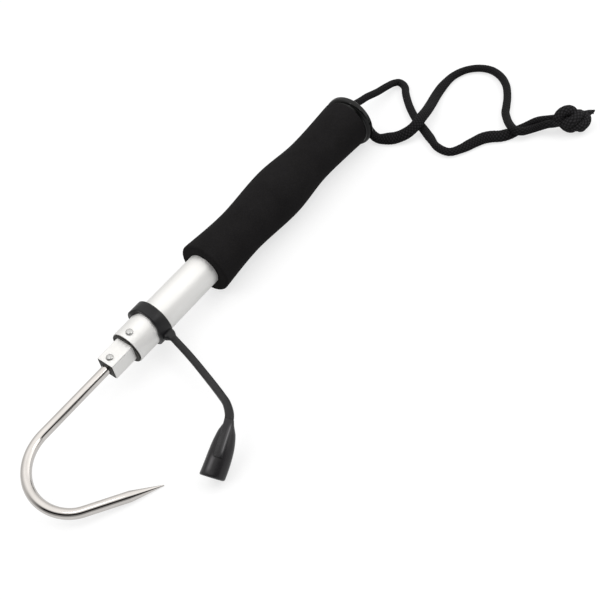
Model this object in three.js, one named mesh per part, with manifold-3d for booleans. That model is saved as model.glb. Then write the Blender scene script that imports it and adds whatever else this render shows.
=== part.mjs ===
import * as THREE from 'three';
import { mergeVertices } from 'three/addons/utils/BufferGeometryUtils.js';
import Module from 'manifold-3d';

const wasm = await Module();
wasm.setup();

// A telescopic fishing gaff with its shaft pushed in, lying on a flat surface.
// Millimetres, +Z up. The shaft lies along X, the hook at its -X end. Along the
// shaft X is counted from the front edge of the bushing, and the whole object is
// moved at the end so that the middle of its base is the origin.

// Clearances
const gap = 0.3; // between two pieces that touch or slide
const ringClearance = 0.1; // between the friction ring and the tube that it rubs
const overrun = 3; // how far a cutter reaches past what it cuts
const sink = 0.5; // how deep one form is rooted in another of the same piece

// Roundness
const roundSegments = 40;
const coneSegments = 32;
const smallSegments = 20;

// Outer tube
const tubeRadius = 11;
const tubeWall = 1.2;
const bareTubeLength = 69.6;
const tubeBore = tubeRadius - tubeWall;

// Foam grip: radii at chosen places along it, as shares of its length
const gripLength = 156.5;
const gripFrontRadius = 18;
const gripWaistRadius = 16;
const gripBellyRadius = 18;
const gripNeckRadius = 15.4;
const gripHeelRadius = 18.4;
const gripEdge = 1.4;
const gripWaistShare = 0.23;
const gripBellyShare = 0.49;
const gripNeckShare = 0.72;
const gripSteps = 22;
const gripEdgeSteps = 3;

// Front bushing, pushed into the tube, with a thin lip round a shallow recess
const lipLength = 0.9;
const lipInset = 0.5; // how far the lip stays inside the tube's outside
const lipWall = 1.6;
const recessDepth = 2.4;
const bushingLength = 22;

// Square inner tube
const squareSide = 12.2;
const squareWall = 1;
const squareCorner = 0.9;
const cornerSegments = 4;
const squareReach = 17.2; // how far it stands out of the bushing when pushed in

// Rivets and pin
const rivetShankRadius = 1.5;
const rivetHeadRadius = 2.25;
const rivetHeadHeight = 1.3;
const rivetHeadEdge = 0.35;
const rivetDomeSteps = 4;
const bushingRivetPlace = 4.6; // from the bushing's front edge
const hookRivetPlace = 4.4; // from the square tube's front end
const hookPinRadius = 1.2;
const guidePinRadius = 1.2;
const guidePinPlace = 7; // from the square tube's rear end

// Plug that holds the hook's shank
const plugRecess = 2;
const plugLength = 24;
const plugCorner = 0.5;

// Rear guide with its friction ring
const guideHeadLength = 10;
const guideSpigotLength = 16;
const guideRoom = 12; // between its rear and the butt cap's spigot when pushed in
const ringSection = 1; // radius of the rubber ring's section
const ringSides = 8;

// Hook
const rodRadius = 3;
const shankStraight = 68; // from the bushing's front edge to the start of the bend
const shankInPlug = 21;
const bendRadius = 29.3;
const bendAngle = 2.067;
const throatRadius = 22;
const throatAngle = 0.447;
const pointLength = 42.4;
const taperLength = 18;
const hookTipRadius = 0.3;
const rodSides = 20;

// Butt cap: a round flange, a hollow spigot in the tube and a lug for the lanyard
const flangeRadius = 19.5;
const flangeThickness = 6;
const flangeEdge = 2.2;
const flangeEdgeSteps = 3;
const spigotLength = 18;
const spigotWall = 2;
const lugThickness = 5;
const lugRadius = 5.5;
const lugHolePlace = 4.6; // from the flange's rear face

// Rubber point guard: ring, strap and cap
const guardRingPlace = 16.8; // of its front edge
const guardRingWidth = 8.6;
const guardRingLean = 1; // how much wider than that it is where the strap leaves it
const guardRingWall = 1.6;
const guardRingEdge = 0.5;
const strapWidth = 3.4;
const strapThickness = 2;
const strapRootWidth = 6.4;
const strapRootThickness = 4.2;
const strapFlareShare = 0.08;
const strapRootRise = 2.4; // how far it leaves the ring squarely
const strapRootAngle = THREE.MathUtils.degToRad(200); // round the shaft, from +Y
const strapSteps = 30;
const strapCorner = 0.8;
// Places along the line from its root to the cap's tip, aside of that line as shares of
// its length, and heights as shares of the tip's height
const strapRouteShares = [
  [0.11, 0.015, 0.69],
  [0.225, 0.027, 0.65],
  [0.35, 0.035, 0.655],
  [0.48, 0.04, 0.695],
  [0.625, 0.044, 0.77],
  [0.765, 0.043, 0.88],
  [0.89, 0.031, 1.01],
];
const capLength = 30.5;
const capTipRadius = 2.9;
const capShoulderRadius = 5.7;
const capMouthRadius = 6.7;
const capShoulderShare = 0.37;
const capBoreRadius = 5.5;
const capBoreEndRadius = 2.6;
const capBoreDepth = 24;
const capBoreStraight = 8;
const capLipEdge = 0.4;
const capHeading = THREE.MathUtils.degToRad(191); // on the floor, from +X
const capDroop = THREE.MathUtils.degToRad(24); // its mouth is the lower end
const capRoll = THREE.MathUtils.degToRad(-25);
const capTipX = -12; // from the bushing's front edge
const capTipY = -93.1; // from the shaft's axis
const capRibWidth = 3.4;
const capRibHeight = 0.8;
const capRibShare = 0.6;
const capSteps = 10;

// Lanyard
const cordRadius = 2.8;
const cordSides = 10;
const strandSteps = 40;
const knotWrapRadius = 5.6;
const knotWrapSpacing = 5.6;
const knotWrapTurn = THREE.MathUtils.degToRad(26);
const knotWrapLean = THREE.MathUtils.degToRad(36);
const knotCoreRadius = 7.4;
const knotNeck = 12.5; // from its middle to the cut ends of its two leads
const knotWrapShift = 1.2;
const knotTailLength = 6;
const knotTailRadius = 2;
const knotSides = 8;
const knotWrapSteps = 16;

// Derived places along the shaft
const tubeFront = lipLength;
const lipRadius = tubeRadius - lipInset;
const gripFront = tubeFront + bareTubeLength;
const gripEnd = gripFront + gripLength;
const tubeEnd = gripEnd;
const flangeFront = gripEnd + gap;
const flangeRear = flangeFront + flangeThickness;
const lugHoleX = flangeRear + lugHolePlace;
const squareFront = -squareReach;
const guideFront = flangeFront - spigotLength - guideRoom - guideHeadLength;
const squareEnd = guideFront - gap;
const guideHeadRadius = tubeBore - gap;
const plugFront = squareFront + plugRecess;
const plugSide = squareSide - 2 * squareWall - 2 * gap;
const hookRivetX = squareFront + hookRivetPlace;
const shankEnd = plugFront + shankInPlug;

// The guard's cap rests on the rim of its mouth
const capTipHeight = capMouthRadius * Math.cos(capDroop) + capLength * Math.sin(capDroop);

// The shaft lies on the butt's flange, and is rolled until the hook's point rests too
const axisHeight = flangeRadius;
const hookTipReach = hookReach();
const shaftRoll = Math.asin((axisHeight - hookTipRadius) / hookTipReach);

// The lanyard's routes, counted from the bushing's front edge and the shaft's axis
const strandRouteA = [
  [240, 9.4, 19.4],
  [246, 11.3, 18.2],
  [252.6, 11.1, 16.5],
  [259.5, 10.8, 14.8],
  [268.4, 10.8, 13],
  [274.6, 10.6, 11.2],
  [281, 10.4, 9.3],
  [292, 10, 6.9],
  [299.4, 9.4, 5],
  [304.2, 6.6, 3.3],
  [303, 1.8, 3],
  [298.6, -1.8, 3],
  [292, -6.6, 3],
  [284, -13.2, 3],
  [275.4, -21.2, 3],
  [264.3, -33.4, 3],
  [253.8, -45.5, 3],
  [246.4, -55, 3],
  [240, -65, 3],
  [238, -75.5, 3],
  [242.5, -82.5, 3],
  [249.5, -87, 3],
  [255.4, -91.5, 3],
  [259.6, -98, 3],
  [262.8, -104.6, 3],
  [267, -112, 3],
  [272.6, -119.6, 3],
  [274.4, -125, 4.6],
];
const strandRouteB = [
  [238, -8, 17],
  [237.9, -10, 12.6],
  [237.6, -11.8, 8],
  [237.2, -14.4, 4.4],
  [236.9, -18.4, 3],
  [238.2, -24.2, 3],
  [240.8, -30, 3.5],
  [245, -36.4, 6],
  [251, -39.8, 8.2],
  [259, -40.6, 9.1],
  [270.4, -37.8, 7.6],
  [283, -33.8, 4.8],
  [296.3, -30.6, 3],
  [309, -29.4, 3],
  [321, -31, 3],
  [329.6, -36.2, 3],
  [334, -44.6, 3],
  [333.4, -54.4, 3],
  [327.6, -65.4, 3],
  [318, -75.6, 3],
  [305, -83.8, 3],
  [291.6, -90.2, 3],
  [280.4, -96.6, 3.3],
  [272.4, -104, 5.6],
  [271.4, -112, 7.4],
  [277.4, -118.6, 6.6],
  [280.3, -123, 6.8],
];
const knotPlace = [283.4, -142, 8.7];
const knotHeading = THREE.MathUtils.degToRad(-65);

// Materials
const satinAluminium = { color: 0xd9dadb, metalness: 1, roughness: 0.38 };
const polishedSteel = { color: 0xd6d3cc, metalness: 1, roughness: 0.14 };
const rivetMetal = { color: 0xc4c5c6, metalness: 1, roughness: 0.3 };
const blackPlastic = { color: 0x1b1b1c, metalness: 0, roughness: 0.35 };
const darkPlastic = { color: 0x35342d, metalness: 0, roughness: 0.55 };
const blackRubber = { color: 0x2a2a2c, metalness: 0, roughness: 0.5 };
const blackFoam = { color: 0x222222, metalness: 0, roughness: 0.95 };
const blackCord = { color: 0x1d1d1f, metalness: 0, roughness: 0.9 };

// Solids and booleans

// Six times the volume, positive where the faces point out
function signedVolume(position, index) {
  const a = new THREE.Vector3();
  const b = new THREE.Vector3();
  const c = new THREE.Vector3();
  let volume = 0;
  for (let i = 0; i < index.length; i += 3) {
    a.fromBufferAttribute(position, index[i]);
    b.fromBufferAttribute(position, index[i + 1]);
    c.fromBufferAttribute(position, index[i + 2]);
    volume += a.dot(b.cross(c));
  }
  return volume;
}

// Shared vertices, no empty triangles, faces pointing out
function closed(geometry) {
  const bare = geometry.clone();
  bare.deleteAttribute('normal');
  bare.deleteAttribute('uv');
  const merged = mergeVertices(bare);
  const index = [];
  const source = merged.index.array;
  for (let i = 0; i < source.length; i += 3) {
    const [a, b, c] = [source[i], source[i + 1], source[i + 2]];
    if (a !== b && b !== c && c !== a) {
      index.push(a, b, c);
    }
  }
  if (signedVolume(merged.attributes.position, index) < 0) {
    index.reverse();
  }
  merged.setIndex(index);
  return merged;
}

function toManifold(geometry) {
  const solid = closed(geometry);
  const vertProperties = new Float32Array(solid.attributes.position.array);
  const triVerts = new Uint32Array(solid.index.array);
  return new wasm.Manifold(new wasm.Mesh({ numProp: 3, vertProperties, triVerts }));
}

function fromManifold(solid) {
  const mesh = solid.getMesh();
  const geometry = new THREE.BufferGeometry();
  geometry.setAttribute('position', new THREE.BufferAttribute(mesh.vertProperties, 3));
  geometry.setIndex(new THREE.BufferAttribute(mesh.triVerts, 1));
  return geometry;
}

function join(base, ...others) {
  const whole = others.reduce((sum, other) => sum.add(toManifold(other)), toManifold(base));
  return fromManifold(whole);
}

function cut(base, ...cutters) {
  const rest = cutters.reduce((sum, cutter) => sum.subtract(toManifold(cutter)), toManifold(base));
  return fromManifold(rest);
}

function piece(name, geometry, look) {
  const solid = closed(geometry);
  solid.computeVertexNormals();
  const mesh = new THREE.Mesh(solid, new THREE.MeshStandardMaterial(look));
  mesh.name = name;
  return mesh;
}

// Forms

// A profile of [place along the shaft, radius] pairs turned round the shaft's axis
function revolve(profile, segments = roundSegments) {
  const points = profile.map(([x, radius]) => new THREE.Vector2(radius, x));
  return new THREE.LatheGeometry(points, segments).rotateZ(-Math.PI / 2);
}

function revolveLoop(profile, segments = roundSegments) {
  return revolve([...profile, profile[0]], segments);
}

// A quarter-round edge as profile points, its centre and the two angles given
function edgeArc(x, radius, edge, from, to, steps) {
  return Array.from({ length: steps + 1 }, (_, i) => {
    const angle = from + ((to - from) * i) / steps;
    return [x + edge * Math.cos(angle), radius + edge * Math.sin(angle)];
  });
}

function roundedSquare(side, corner) {
  const half = side / 2 - corner;
  const shape = new THREE.Shape();
  shape.absarc(half, half, corner, 0, Math.PI / 2);
  shape.absarc(-half, half, corner, Math.PI / 2, Math.PI);
  shape.absarc(-half, -half, corner, Math.PI, 1.5 * Math.PI);
  shape.absarc(half, -half, corner, 1.5 * Math.PI, 2 * Math.PI);
  return shape;
}

// An outline drawn across the shaft, pushed along it from one place to another
function alongShaft(shape, from, to, curveSegments = cornerSegments) {
  const depth = to - from;
  const geometry = new THREE.ExtrudeGeometry(shape, { depth, bevelEnabled: false, curveSegments });
  return geometry.rotateY(Math.PI / 2).translate(from, 0, 0);
}

// A round bar through the shaft from one height to another
function crossBar(x, radius, from, to) {
  const bar = new THREE.CylinderGeometry(radius, radius, to - from, smallSegments);
  return bar.rotateX(Math.PI / 2).translate(x, 0, (from + to) / 2);
}

// Rings of points joined into one skin, with flat ends
function loft(stations) {
  const sides = stations[0].outline.length;
  const positions = [];
  const index = [];
  for (const { centre, across, up, outline } of stations) {
    for (const point of outline) {
      const place = centre.clone().addScaledVector(across, point.x).addScaledVector(up, point.y);
      positions.push(...place.toArray());
    }
  }
  for (let ring = 0; ring < stations.length - 1; ring++) {
    for (let i = 0; i < sides; i++) {
      const a = ring * sides + i;
      const b = ring * sides + ((i + 1) % sides);
      index.push(a, b, b + sides, a, b + sides, a + sides);
    }
  }
  const lastRing = (stations.length - 1) * sides;
  const endCentre = stations.length * sides;
  positions.push(...stations[0].centre.toArray());
  positions.push(...stations[stations.length - 1].centre.toArray());
  for (let i = 0; i < sides; i++) {
    const next = (i + 1) % sides;
    index.push(endCentre, next, i);
    index.push(endCentre + 1, lastRing + i, lastRing + next);
  }
  const geometry = new THREE.BufferGeometry();
  geometry.setAttribute('position', new THREE.Float32BufferAttribute(positions, 3));
  geometry.setIndex(index);
  return geometry;
}

function throughPoints(route) {
  return new THREE.CatmullRomCurve3(route.map((point) => new THREE.Vector3(...point)));
}

function circleOutline(radius, sides) {
  return Array.from({ length: sides }, (_, i) => {
    const angle = (2 * Math.PI * i) / sides;
    return new THREE.Vector2(radius * Math.cos(angle), radius * Math.sin(angle));
  });
}

// Outer tube, bushing and their rivets

function outerTube() {
  const shell = revolveLoop([
    [tubeFront, tubeBore],
    [tubeFront, tubeRadius],
    [tubeEnd, tubeRadius],
    [tubeEnd, tubeBore],
  ]);
  const reach = tubeRadius + overrun;
  return cut(shell, crossBar(bushingRivetPlace, rivetShankRadius + gap, -reach, reach));
}

function frontBushing() {
  const sleeve = tubeBore - gap;
  const body = revolve([
    [recessDepth, 0],
    [recessDepth, lipRadius - lipWall],
    [0, lipRadius - lipWall],
    [0, lipRadius],
    [lipLength - gap, lipRadius],
    [lipLength - gap, sleeve],
    [bushingLength, sleeve],
    [bushingLength, 0],
  ]);
  const bore = roundedSquare(squareSide + 2 * gap, squareCorner + gap);
  const bar = crossBar(bushingRivetPlace, rivetShankRadius + gap, -tubeRadius, tubeRadius);
  return cut(body, alongShaft(bore, -overrun, bushingLength + overrun), bar);
}

// Half the outline of a domed rivet standing on a seat, from its foot up
function rivetProfile(shankRadius, foot, seat) {
  const dome = Array.from({ length: rivetDomeSteps + 1 }, (_, i) => {
    const angle = ((Math.PI / 2) * i) / rivetDomeSteps;
    const rise = (rivetHeadHeight - rivetHeadEdge) * Math.sin(angle);
    return [seat + rivetHeadEdge + rise, rivetHeadRadius * Math.cos(angle)];
  });
  dome[rivetDomeSteps][1] = 0;
  return [[foot, shankRadius], [seat, shankRadius], [seat, rivetHeadRadius], ...dome];
}

// Turned along X, then stood up across the shaft
function standUp(geometry, x) {
  return geometry.rotateY(-Math.PI / 2).translate(x, 0, 0);
}

function bushingRivet() {
  const foot = squareSide / 2 + 2 * gap;
  const profile = rivetProfile(rivetShankRadius, foot, tubeRadius + gap);
  return standUp(revolve([[foot, 0], ...profile], smallSegments), bushingRivetPlace);
}

// Inner tube, plug, hook and their rivet

function innerTube() {
  const wall = roundedSquare(squareSide, squareCorner);
  wall.holes.push(roundedSquare(squareSide - 2 * squareWall, squareCorner - gap));
  const reach = squareSide / 2 + overrun;
  return cut(
    alongShaft(wall, squareFront, squareEnd),
    crossBar(hookRivetX, hookPinRadius + gap, -reach, reach),
    crossBar(squareEnd - guidePinPlace, guidePinRadius + gap, -reach, reach),
  );
}

function hookPlug() {
  const block = alongShaft(roundedSquare(plugSide, plugCorner), plugFront, plugFront + plugLength);
  const bore = revolve([
    [plugFront - overrun, 0],
    [plugFront - overrun, rodRadius + gap],
    [shankEnd + gap, rodRadius + gap],
    [shankEnd + gap, 0],
  ], smallSegments);
  return cut(block, bore, crossBar(hookRivetX, hookPinRadius + gap, -plugSide, plugSide));
}

// One rivet right through tube, plug and shank, domed at both ends
function hookRivet() {
  const seat = squareSide / 2 + gap;
  const upper = rivetProfile(hookPinRadius, 0, seat);
  const lower = upper.slice(1).reverse().map(([height, radius]) => [-height, radius]);
  return standUp(revolve([...lower, ...upper.slice(1)], smallSegments), hookRivetX);
}

// The rod's middle line in the hook's own plane: legs of one length and bend each
function hookLegs() {
  return [
    { length: shankEnd + shankStraight, radius: 0, steps: 2 },
    { length: bendRadius * bendAngle, radius: bendRadius, steps: 22 },
    { length: throatRadius * throatAngle, radius: throatRadius, steps: 5 },
    { length: pointLength - taperLength, radius: 0, steps: 1 },
    { length: taperLength, radius: 0, steps: 4 },
  ];
}

function walkHook() {
  const place = new THREE.Vector2(shankEnd, 0);
  let heading = Math.PI;
  const path = [{ x: place.x, y: place.y, heading }];
  for (const { length, radius, steps } of hookLegs()) {
    const step = length / steps;
    const turn = radius > 0 ? step / radius : 0;
    const chord = radius > 0 ? 2 * radius * Math.sin(turn / 2) : step;
    for (let i = 0; i < steps; i++) {
      heading += turn / 2;
      place.x += chord * Math.cos(heading);
      place.y += chord * Math.sin(heading);
      heading += turn / 2;
      path.push({ x: place.x, y: place.y, heading });
    }
  }
  return path;
}

function hookReach() {
  const path = walkHook();
  return -path[path.length - 1].y;
}

function hook() {
  const path = walkHook();
  const taperSteps = hookLegs().pop().steps;
  const stations = path.map(({ x, y, heading }, i) => {
    const fromTip = Math.min((path.length - 1 - i) / taperSteps, 1);
    return {
      centre: new THREE.Vector3(x, y, 0),
      across: new THREE.Vector3(-Math.sin(heading), Math.cos(heading), 0),
      up: new THREE.Vector3(0, 0, 1),
      outline: circleOutline(THREE.MathUtils.lerp(hookTipRadius, rodRadius, fromTip), rodSides),
    };
  });
  const reach = rodRadius + overrun;
  return cut(loft(stations), crossBar(hookRivetX, hookPinRadius + gap, -reach, reach));
}

// Rear guide, its friction ring and pin

function rearGuide() {
  const grooveRadius = tubeBore - ringClearance - 2 * ringSection - gap;
  const grooveHalf = ringSection + gap;
  const middle = guideFront + guideHeadLength / 2;
  const rear = guideFront + guideHeadLength;
  const head = revolve([
    [guideFront, 0],
    [guideFront, guideHeadRadius],
    [middle - grooveHalf, guideHeadRadius],
    [middle - grooveHalf, grooveRadius],
    [middle + grooveHalf, grooveRadius],
    [middle + grooveHalf, guideHeadRadius],
    [rear, guideHeadRadius],
    [rear, 0],
  ]);
  const spigot = roundedSquare(plugSide, plugCorner);
  const pin = crossBar(squareEnd - guidePinPlace, guidePinRadius + gap, -plugSide, plugSide);
  return cut(join(head, alongShaft(spigot, squareEnd - guideSpigotLength, guideFront + sink)), pin);
}

function frictionRing() {
  const middle = guideFront + guideHeadLength / 2;
  const ringRadius = tubeBore - ringClearance - ringSection;
  const ring = new THREE.TorusGeometry(ringRadius, ringSection, ringSides, roundSegments);
  return ring.rotateY(Math.PI / 2).translate(middle, 0, 0);
}

function guidePin() {
  return crossBar(squareEnd - guidePinPlace, guidePinRadius, -squareSide / 2, squareSide / 2);
}

// Grip

// Radii along the grip follow one smooth curve through its waist, belly and neck
function gripSurface() {
  const front = gripFront + gripEdge;
  const rear = gripEnd - gripEdge;
  const curve = new THREE.SplineCurve([
    new THREE.Vector2(front, gripFrontRadius),
    new THREE.Vector2(gripFront + gripWaistShare * gripLength, gripWaistRadius),
    new THREE.Vector2(gripFront + gripBellyShare * gripLength, gripBellyRadius),
    new THREE.Vector2(gripFront + gripNeckShare * gripLength, gripNeckRadius),
    new THREE.Vector2(rear, gripHeelRadius),
  ]);
  return curve.getSpacedPoints(gripSteps).map((point) => [point.x, point.y]);
}

function grip() {
  const bore = tubeRadius + gap;
  const front = gripFront + gripEdge;
  const rear = gripEnd - gripEdge;
  const frontEdge = edgeArc(
    front, gripFrontRadius - gripEdge, gripEdge, Math.PI, Math.PI / 2, gripEdgeSteps);
  const rearEdge = edgeArc(rear, gripHeelRadius - gripEdge, gripEdge, Math.PI / 2, 0, gripEdgeSteps);
  const surface = gripSurface().slice(1, -1);
  return revolveLoop([[gripFront, bore], ...frontEdge, ...surface, ...rearEdge, [gripEnd, bore]]);
}

// Butt cap

function capLug() {
  const outline = new THREE.Shape();
  outline.moveTo(flangeRear - sink, -lugRadius);
  outline.lineTo(lugHoleX, -lugRadius);
  outline.absarc(lugHoleX, 0, lugRadius, -Math.PI / 2, Math.PI / 2);
  outline.lineTo(flangeRear - sink, lugRadius);
  const eye = new THREE.Path();
  eye.absarc(lugHoleX, 0, cordRadius + gap, 0, 2 * Math.PI);
  outline.holes.push(eye);
  const options = { depth: lugThickness, bevelEnabled: false, curveSegments: smallSegments / 2 };
  const lug = new THREE.ExtrudeGeometry(outline, options).translate(0, 0, -lugThickness / 2);
  return lug.rotateX(Math.PI / 2);
}

function buttCap() {
  const spigotRadius = tubeBore - gap;
  const spigotFront = flangeFront - spigotLength;
  const frontEdge = edgeArc(
    flangeFront + flangeEdge / 2, flangeRadius - flangeEdge / 2, flangeEdge / 2,
    Math.PI, Math.PI / 2, flangeEdgeSteps);
  const rearEdge = edgeArc(
    flangeRear - flangeEdge, flangeRadius - flangeEdge, flangeEdge, Math.PI / 2, 0, flangeEdgeSteps);
  const body = revolve([
    [flangeFront, 0],
    [flangeFront, spigotRadius - spigotWall],
    [spigotFront, spigotRadius - spigotWall],
    [spigotFront, spigotRadius],
    [flangeFront, spigotRadius],
    ...frontEdge,
    ...rearEdge,
    [flangeRear, 0],
  ]);
  return join(body, capLug());
}

// Point guard

// A band whose front edge leans forward towards the strap's root
function guardRing() {
  const bore = tubeRadius + gap;
  const outer = bore + guardRingWall;
  const rear = guardRingPlace + guardRingWidth;
  const band = revolveLoop([
    [guardRingPlace, bore],
    [guardRingPlace, outer - guardRingEdge],
    [guardRingPlace + guardRingEdge, outer],
    [rear - guardRingEdge, outer],
    [rear, outer - guardRingEdge],
    [rear, bore],
  ]);
  const middle = guardRingPlace + guardRingWidth / 2;
  const place = band.attributes.position;
  for (let i = 0; i < place.count; i++) {
    const angle = Math.atan2(place.getZ(i), place.getY(i));
    if (place.getX(i) < middle) {
      place.setX(i, place.getX(i) - guardRingLean * Math.cos(angle - strapRootAngle));
    }
  }
  return band;
}

// A point above the ring where the strap's root leaves it
function strapRoot(rise) {
  const reach = tubeRadius + gap + guardRingWall + gap + rise;
  return [
    guardRingPlace + guardRingWidth / 2,
    reach * Math.cos(strapRootAngle),
    axisHeight + reach * Math.sin(strapRootAngle),
  ];
}

// A point before the cap's tip, in line with the cap
function strapEnd(before) {
  const level = before * Math.cos(capDroop);
  return [
    capTipX - level * Math.cos(capHeading),
    capTipY - level * Math.sin(capHeading),
    capTipHeight + before * Math.sin(capDroop),
  ];
}

// The strap's points between root and cap, clear of the floor
function strapRoute() {
  const [rootX, rootY] = strapRoot(strapRootRise);
  const [runX, runY] = [capTipX - rootX, capTipY - rootY];
  return strapRouteShares.map(([along, aside, height]) => [
    rootX + along * runX - aside * runY,
    rootY + along * runY + aside * runX,
    height * capTipHeight,
  ]);
}

// A flat strap section with cut corners
function strapOutline(width, thickness) {
  const x = width / 2;
  const y = thickness / 2;
  const [inX, inY] = [x - strapCorner, y - strapCorner];
  const corners = [[x, inY], [inX, y], [-inX, y], [-x, inY], [-x, -inY], [-inX, -y], [inX, -y], [x, -inY]];
  return corners.map(([across, up]) => new THREE.Vector2(across, up));
}

function guardStrap() {
  const ends = [strapEnd(strapThickness), strapEnd(2 * gap)];
  const curve = throughPoints([strapRoot(0), strapRoot(strapRootRise), ...strapRoute(), ...ends]);
  const vertical = new THREE.Vector3(0, 0, 1);
  const stations = Array.from({ length: strapSteps + 1 }, (_, i) => {
    const share = i / strapSteps;
    const tangent = curve.getTangentAt(share);
    const across = new THREE.Vector3().crossVectors(vertical, tangent).normalize();
    across.applyAxisAngle(tangent, capRoll * share * share);
    const up = new THREE.Vector3().crossVectors(tangent, across);
    const flare = Math.max(1 - share / strapFlareShare, 0);
    const width = THREE.MathUtils.lerp(strapWidth, strapRootWidth, flare);
    const thickness = THREE.MathUtils.lerp(strapThickness, strapRootThickness, flare);
    return { centre: curve.getPointAt(share), across, up, outline: strapOutline(width, thickness) };
  });
  return loft(stations);
}

// A flat rib that carries the strap on over the cap's outside
function capRib(outside) {
  const x = capRibWidth / 2;
  const outline = [[x, capRibHeight], [-x, capRibHeight], [-x, -sink], [x, -sink]];
  const stations = outside.filter(([along]) => along < capRibShare * capLength).map(([along, radius]) => ({
    centre: new THREE.Vector3(along, 0, radius),
    across: new THREE.Vector3(0, 1, 0),
    up: new THREE.Vector3(0, 0, 1),
    outline: outline.map(([across, up]) => new THREE.Vector2(across, up)),
  }));
  return loft(stations);
}

// Drawn along X from its tip to its mouth
function guardCap() {
  const shoulder = capShoulderShare * capLength;
  const bend = new THREE.SplineCurve([
    new THREE.Vector2(0, capTipRadius),
    new THREE.Vector2(shoulder, capShoulderRadius),
    new THREE.Vector2(capLength - capLipEdge, capMouthRadius),
  ]);
  const outside = bend.getSpacedPoints(capSteps).map((point) => [point.x, point.y]);
  const boreEnd = capLength - capBoreDepth;
  const shell = revolve([
    [0, 0],
    ...outside,
    [capLength, capMouthRadius - capLipEdge],
    [capLength, capBoreRadius],
    [capLength - capBoreStraight, capBoreRadius],
    [boreEnd, capBoreEndRadius],
    [boreEnd, 0],
  ], coneSegments);
  return join(shell, capRib(outside));
}

// Lanyard

// A point beside the lug's eye, where a strand leaves it squarely
function eyeExit(side, away) {
  return [lugHoleX, side * (lugThickness / 2 + away), axisHeight];
}

// A point before one of the two leads of the knot
function knotEntry(side, before) {
  const [x, y, z] = knotPlace;
  const reach = knotNeck + before;
  const aside = side * (cordRadius + gap);
  return [
    x - reach * Math.cos(knotHeading) - aside * Math.sin(knotHeading),
    y - reach * Math.sin(knotHeading) + aside * Math.cos(knotHeading),
    z,
  ];
}

function strand(side, route) {
  const start = [eyeExit(side, 2 * gap), eyeExit(side, cordRadius)];
  const end = [knotEntry(-side, cordRadius), knotEntry(-side, gap)];
  const curve = throughPoints([...start, ...route, ...end]);
  const section = new THREE.Shape(circleOutline(cordRadius, cordSides));
  return new THREE.ExtrudeGeometry(section, { steps: strandSteps, extrudePath: curve });
}

// The short stretch that the lug's eye holds
function lanyardBridge() {
  const length = lugThickness + 2 * gap;
  const stretch = new THREE.CylinderGeometry(cordRadius, cordRadius, length, smallSegments);
  return stretch.translate(lugHoleX, 0, axisHeight);
}

// Three leaning wraps round a core, two leads that the strands run into, and a frayed end
function lanyardKnot() {
  const core = new THREE.SphereGeometry(knotCoreRadius, knotWrapSteps, knotSides);
  const wraps = [-1, 0, 1].map((place) => {
    const wrap = new THREE.TorusGeometry(knotWrapRadius, cordRadius, knotSides, knotWrapSteps);
    wrap.rotateY(Math.PI / 2 + place * knotWrapTurn).rotateX(place * knotWrapLean);
    return wrap.translate(place * knotWrapSpacing, -place * knotWrapShift, 0);
  });
  const leads = [-1, 1].map((side) => {
    const lead = new THREE.CylinderGeometry(cordRadius, cordRadius, knotNeck, cordSides);
    return lead.rotateZ(Math.PI / 2).translate(-knotNeck / 2, side * (cordRadius + gap), 0);
  });
  const tail = new THREE.ConeGeometry(knotTailRadius, knotTailLength, cordSides);
  tail.rotateZ(-Math.PI / 2).translate(knotWrapSpacing + knotTailLength / 2, knotWrapRadius, 0);
  return join(core, ...wraps, ...leads, tail);
}

// Assembly

function rolledPieces() {
  const group = new THREE.Group();
  group.rotation.x = shaftRoll;
  const topRivet = piece('bushing_rivet_top', bushingRivet(), rivetMetal);
  const bottomRivet = piece('bushing_rivet_bottom', bushingRivet(), rivetMetal);
  bottomRivet.rotation.x = Math.PI;
  group.add(
    piece('outer_tube', outerTube(), satinAluminium),
    piece('front_bushing', frontBushing(), darkPlastic),
    topRivet,
    bottomRivet,
    piece('inner_tube', innerTube(), satinAluminium),
    piece('hook_plug', hookPlug(), darkPlastic),
    piece('hook', hook(), polishedSteel),
    piece('hook_rivet', hookRivet(), rivetMetal),
    piece('rear_guide', rearGuide(), blackPlastic),
    piece('guide_pin', guidePin(), rivetMetal),
    piece('friction_ring', frictionRing(), blackRubber),
  );
  return group;
}

function shaft() {
  const group = new THREE.Group();
  group.position.z = axisHeight;
  group.add(
    rolledPieces(),
    piece('grip', grip(), blackFoam),
    piece('butt_cap', buttCap(), blackPlastic),
    piece('guard_ring', guardRing(), blackRubber),
  );
  return group;
}

function guardTail() {
  const group = new THREE.Group();
  const cap = piece('guard_cap', guardCap(), blackRubber);
  cap.rotation.set(capRoll, capDroop, capHeading, 'ZYX');
  cap.position.set(capTipX, capTipY, capTipHeight);
  group.add(piece('guard_strap', guardStrap(), blackRubber), cap);
  return group;
}

function lanyard() {
  const group = new THREE.Group();
  const knot = piece('lanyard_knot', lanyardKnot(), blackCord);
  knot.position.set(...knotPlace);
  knot.rotation.z = knotHeading;
  group.add(
    piece('lanyard_strand_a', strand(1, strandRouteA), blackCord),
    piece('lanyard_strand_b', strand(-1, strandRouteB), blackCord),
    piece('lanyard_bridge', lanyardBridge(), blackCord),
    knot,
  );
  return group;
}

const gaff = new THREE.Group();
gaff.add(shaft(), guardTail());
gaff.updateMatrixWorld(true);
const box = new THREE.Box3().setFromObject(gaff, true);
const middle = box.getCenter(new THREE.Vector3());
gaff.add(lanyard());
gaff.position.set(-middle.x, -middle.y, -box.min.z);

export default gaff;
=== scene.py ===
import math

import bpy
import bmesh
from mathutils import Matrix, Quaternion, Vector

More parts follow.
